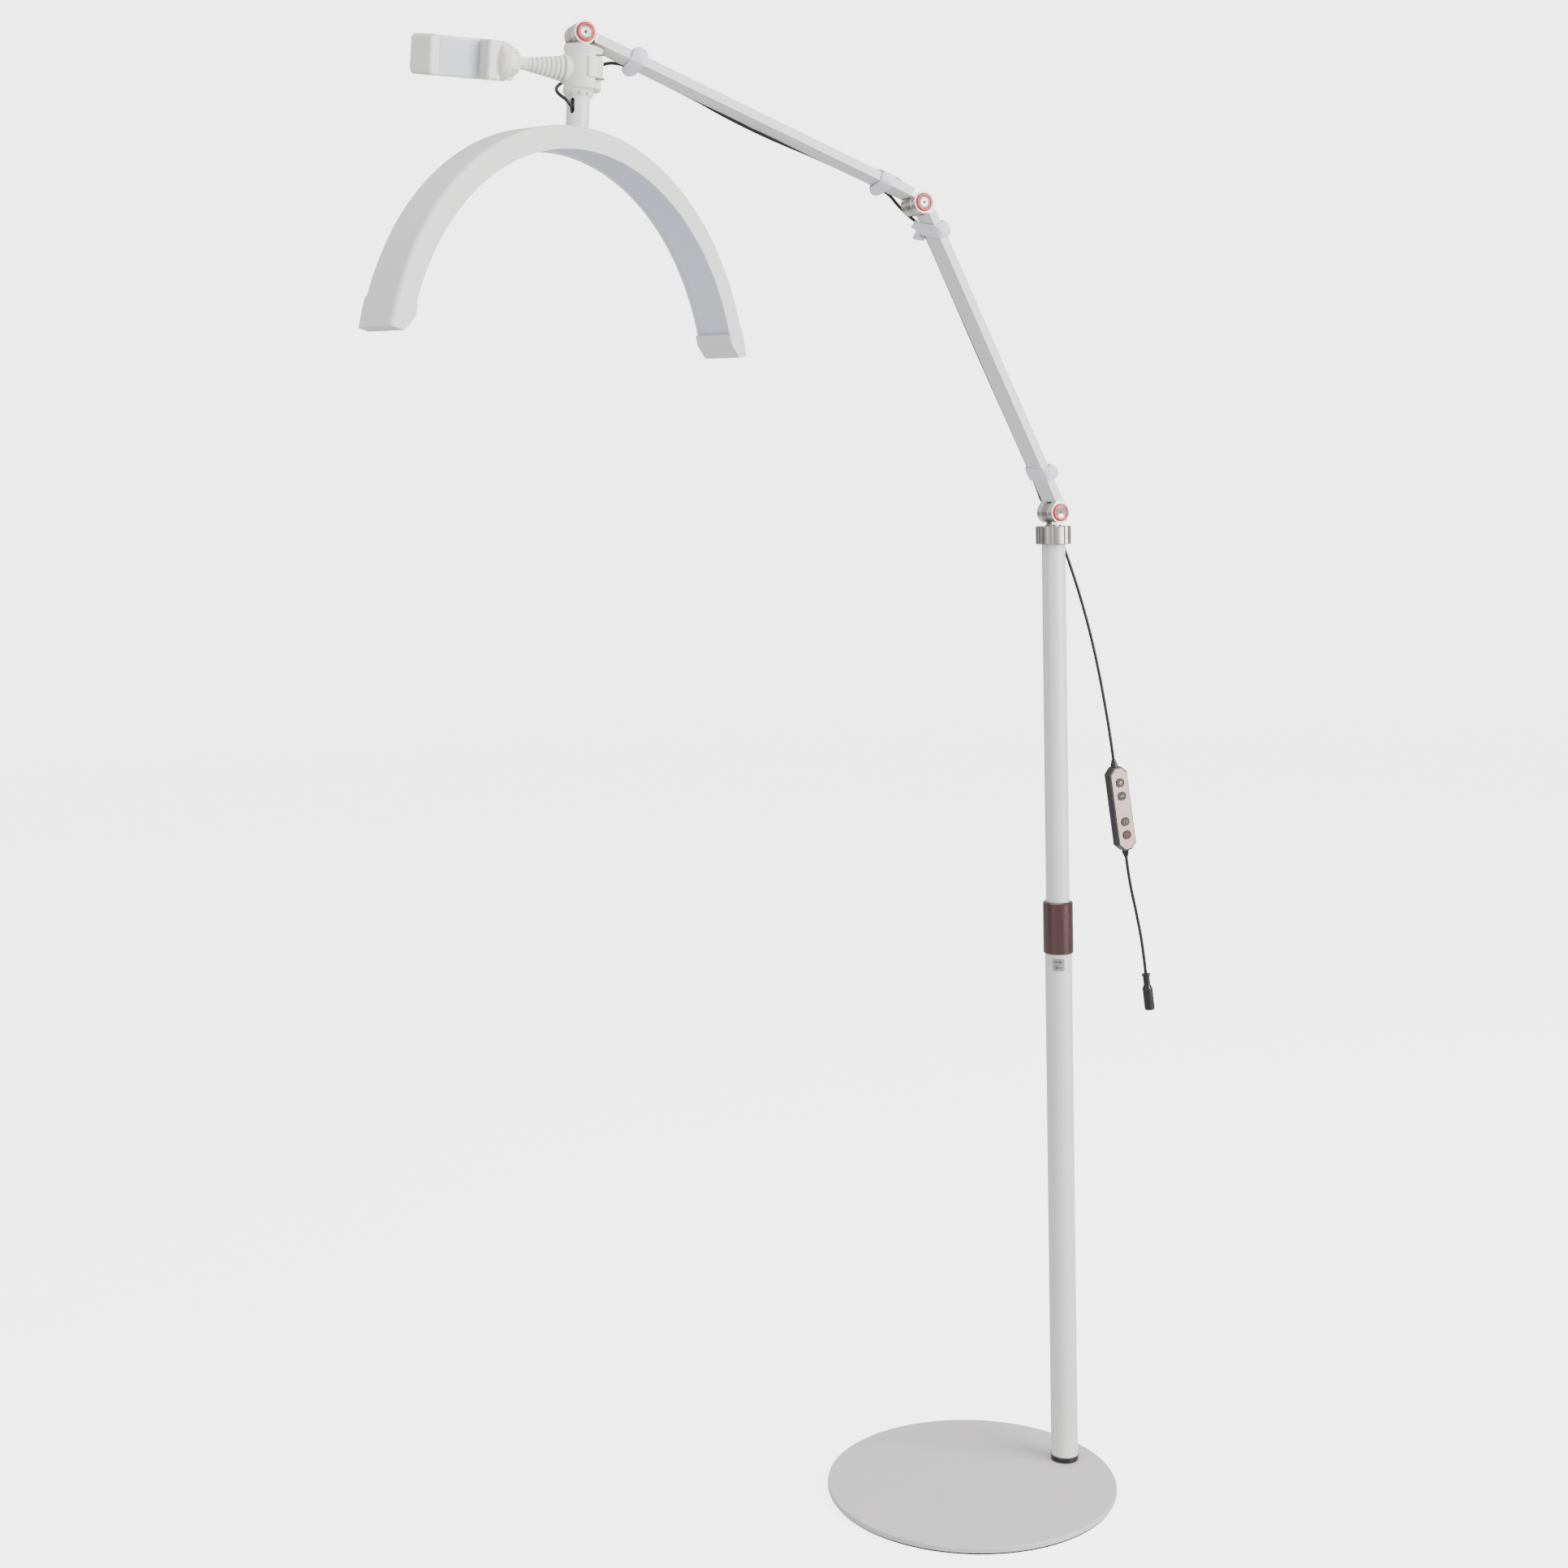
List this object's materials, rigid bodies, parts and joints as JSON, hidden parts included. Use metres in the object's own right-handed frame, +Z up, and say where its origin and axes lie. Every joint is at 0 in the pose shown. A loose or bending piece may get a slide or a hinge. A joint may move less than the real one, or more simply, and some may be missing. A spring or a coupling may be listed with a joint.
{
  "type": "floor_lamp",
  "caption": "Half-moon salon floor lamp on a round base: telescopic pole, two-part folding arm, turning light arch, phone clip and an inline control on its lead.",
  "frame": {"origin": "centre of the round base, on the floor", "axes": "+Z up; the arm reaches towards -X; -Y is the side the joint screws face; the pole stands at X = 130 mm"},
  "size_m": [1.0007, 0.34, 1.687],
  "materials": {
    "foot_foam": "matte closed-cell foam pad",
    "plate_paint": "satin light grey powder coat",
    "screw_steel": "plain bright steel",
    "pole_paint": "satin white enamel",
    "collar_rose": "brushed rose-brown anodised metal",
    "grey_plastic": "moulded collet",
    "collar_black": "black moulded ring",
    "knob_nickel": "satin nickel",
    "knuckle_nickel": "bright nickel with turned faces",
    "knuckle_white": "smooth white enamel",
    "arm_paint": "satin lilac-white enamel",
    "strap_clear": "soft milky plastic tie",
    "white_paint": "satin white",
    "white_plastic": "moulded white shell",
    "diffuser_opal": "opal light cover",
    "led_board": "white light strip",
    "holder_plastic": "moulded pale grey plastic",
    "grip_rubber": "soft ribbed grip",
    "control_plastic": "black moulded plastic",
    "control_face": "brushed rose plate",
    "button_plastic": "black button cap",
    "circuit_board": "green board",
    "cable_black": "smooth black sheath"
  },
  "bodies": {
    "stand": {"base_pad": "foot_foam", "base_plate": "plate_paint", "base_bolt": "screw_steel", "pole_plug": "screw_steel", "foot_ring": "collar_black", "lower_tube": "pole_paint", "collet": "grey_plastic"},
    "height_collar_body": {"height_collar": "collar_rose"},
    "mast": {"upper_tube": "pole_paint", "mast_socket": "screw_steel"},
    "knob_body": {"swivel_knob": "knob_nickel"},
    "swivel": {"swivel_post": "knob_nickel", "lead_upper": "cable_black", "lead_lower": "cable_black", "lead_socket": "control_plastic", "controller_body": "control_plastic", "controller_face": "control_face", "controller_board": "circuit_board", "controller_reliefs": "control_plastic"},
    "lower_arm": {"shoulder_fork": "knuckle_white", "shoulder_washers": "knuckle_nickel", "shoulder_bolt": "knuckle_nickel", "lower_arm_tube": "arm_paint", "elbow_fork": "knuckle_white", "elbow_washers": "knuckle_nickel", "elbow_bolt": "knuckle_nickel", "lower_arm_straps": "strap_clear", "lower_arm_cable": "cable_black", "shoulder_cable": "cable_black", "elbow_cable": "cable_black"},
    "upper_arm": {"elbow_tongue": "knuckle_nickel", "upper_arm_tube": "arm_paint", "wrist_tongue": "knuckle_nickel", "upper_arm_straps": "strap_clear", "upper_arm_cable": "cable_black"},
    "head_bracket": {"head_fork": "knuckle_white", "wrist_washers": "knuckle_nickel", "wrist_bolt": "knuckle_nickel"},
    "lamp": {"stem_tube": "white_paint", "stem_screw": "screw_steel", "arch_channel": "white_plastic", "diffuser": "diffuser_opal", "led_strip": "led_board", "end_caps": "white_plastic", "head_cable": "cable_black"},
    "sleeve": {"phone_sleeve": "holder_plastic", "latch_pins": "knob_nickel", "phone_neck": "holder_plastic"},
    "flap": {"latch_flap": "holder_plastic"},
    "liner": {"ball_liner": "holder_plastic"},
    "clip": {"clip_body": "holder_plastic", "clip_fixed_pad": "grip_rubber", "clip_spring": "screw_steel"},
    "nut": {"ball_nut": "holder_plastic"},
    "jaw": {"clip_jaw": "holder_plastic", "clip_jaw_pad": "grip_rubber"},
    "plus_button_cap": {"plus_button": "button_plastic"},
    "minus_button_cap": {"minus_button": "button_plastic"},
    "mode_button_cap": {"mode_button": "button_plastic"},
    "power_button_cap": {"power_button": "button_plastic"}
  },
  "joints": [
    {"name": "collar_twist", "type": "hinge", "parent": "stand", "child": "height_collar_body", "pos_m": [0.13, 0, 0.65], "axis": [0, 0, 1], "range_deg": [-120, 0]},
    {"name": "mast_slide", "type": "slide", "parent": "stand", "child": "mast", "axis": [0, 0, 1], "range_m": [-0.38, 0.06]},
    {"name": "knob_turn", "type": "hinge", "parent": "mast", "child": "knob_body", "pos_m": [0.13, 0, 1.124], "axis": [0, 0, 1], "range_deg": [-90, 180]},
    {"name": "arm_swivel", "type": "hinge", "parent": "mast", "child": "swivel", "pos_m": [0.13, 0, 1.13], "axis": [0, 0, 1], "range_deg": [-170, 170]},
    {"name": "shoulder_fold", "type": "hinge", "parent": "swivel", "child": "lower_arm", "pos_m": [0.13, 0, 1.1512], "axis": [0, 1, 0], "range_deg": [-62, 88], "deforming": ["shoulder_cable"]},
    {"name": "elbow_fold", "type": "hinge", "parent": "lower_arm", "child": "upper_arm", "pos_m": [-0.04893, 0, 1.51007], "axis": [0, 1, 0], "range_deg": [-88, 40], "deforming": ["elbow_cable"]},
    {"name": "wrist_fold", "type": "hinge", "parent": "upper_arm", "child": "head_bracket", "pos_m": [-0.4581, 0, 1.67456], "axis": [0, 1, 0], "range_deg": [0, 95], "deforming": ["head_cable"]},
    {"name": "lamp_turn", "type": "hinge", "parent": "head_bracket", "child": "lamp", "pos_m": [-0.4581, 0, 1.67456], "axis": [0.0541, 0, 0.9985], "range_deg": [-90, 90]},
    {"name": "sleeve_turn", "type": "hinge", "parent": "lamp", "child": "sleeve", "pos_m": [-0.4581, 0, 1.67456], "axis": [0.0541, 0, 0.9985], "range_deg": [-40, 40]},
    {"name": "flap_open", "type": "hinge", "parent": "sleeve", "child": "flap", "pos_m": [-0.4395, -0.015, 1.6367], "axis": [0.0541, 0, 0.9985], "range_deg": [0, 70]},
    {"name": "liner_roll", "type": "hinge", "parent": "sleeve", "child": "liner", "pos_m": [-0.54166, 0, 1.64053], "axis": [-0.9985, 0, 0.0541], "range_deg": [-180, 180]},
    {"name": "clip_tilt", "type": "hinge", "parent": "liner", "child": "clip", "pos_m": [-0.54166, 0, 1.64053], "axis": [0.0176, -0.1923, 0.9812], "range_deg": [-28, 8]},
    {"name": "nut_turn", "type": "hinge", "parent": "clip", "child": "nut", "pos_m": [-0.54166, 0, 1.64053], "axis": [-0.9699, -0.2418, -0.03], "range_deg": [-120, 120]},
    {"name": "jaw_slide", "type": "slide", "parent": "clip", "child": "jaw", "axis": [-0.9699, -0.2418, -0.03], "range_m": [0, 0.028], "stiffness_N_per_m": 250, "springref_m": -0.02, "deforming": ["clip_spring"]},
    {"name": "plus_press", "type": "slide", "parent": "swivel", "child": "plus_button_cap", "axis": [0, 1, 0], "range_m": [0, 0.0008], "stiffness_N_per_m": 400, "springref_m": -0.0006},
    {"name": "minus_press", "type": "slide", "parent": "swivel", "child": "minus_button_cap", "axis": [0, 1, 0], "range_m": [0, 0.0008], "stiffness_N_per_m": 400, "springref_m": -0.0006},
    {"name": "mode_press", "type": "slide", "parent": "swivel", "child": "mode_button_cap", "axis": [0, 1, 0], "range_m": [0, 0.0008], "stiffness_N_per_m": 400, "springref_m": -0.0006},
    {"name": "power_press", "type": "slide", "parent": "swivel", "child": "power_button_cap", "axis": [0, 1, 0], "range_m": [0, 0.0008], "stiffness_N_per_m": 400, "springref_m": -0.0006}
  ]
}
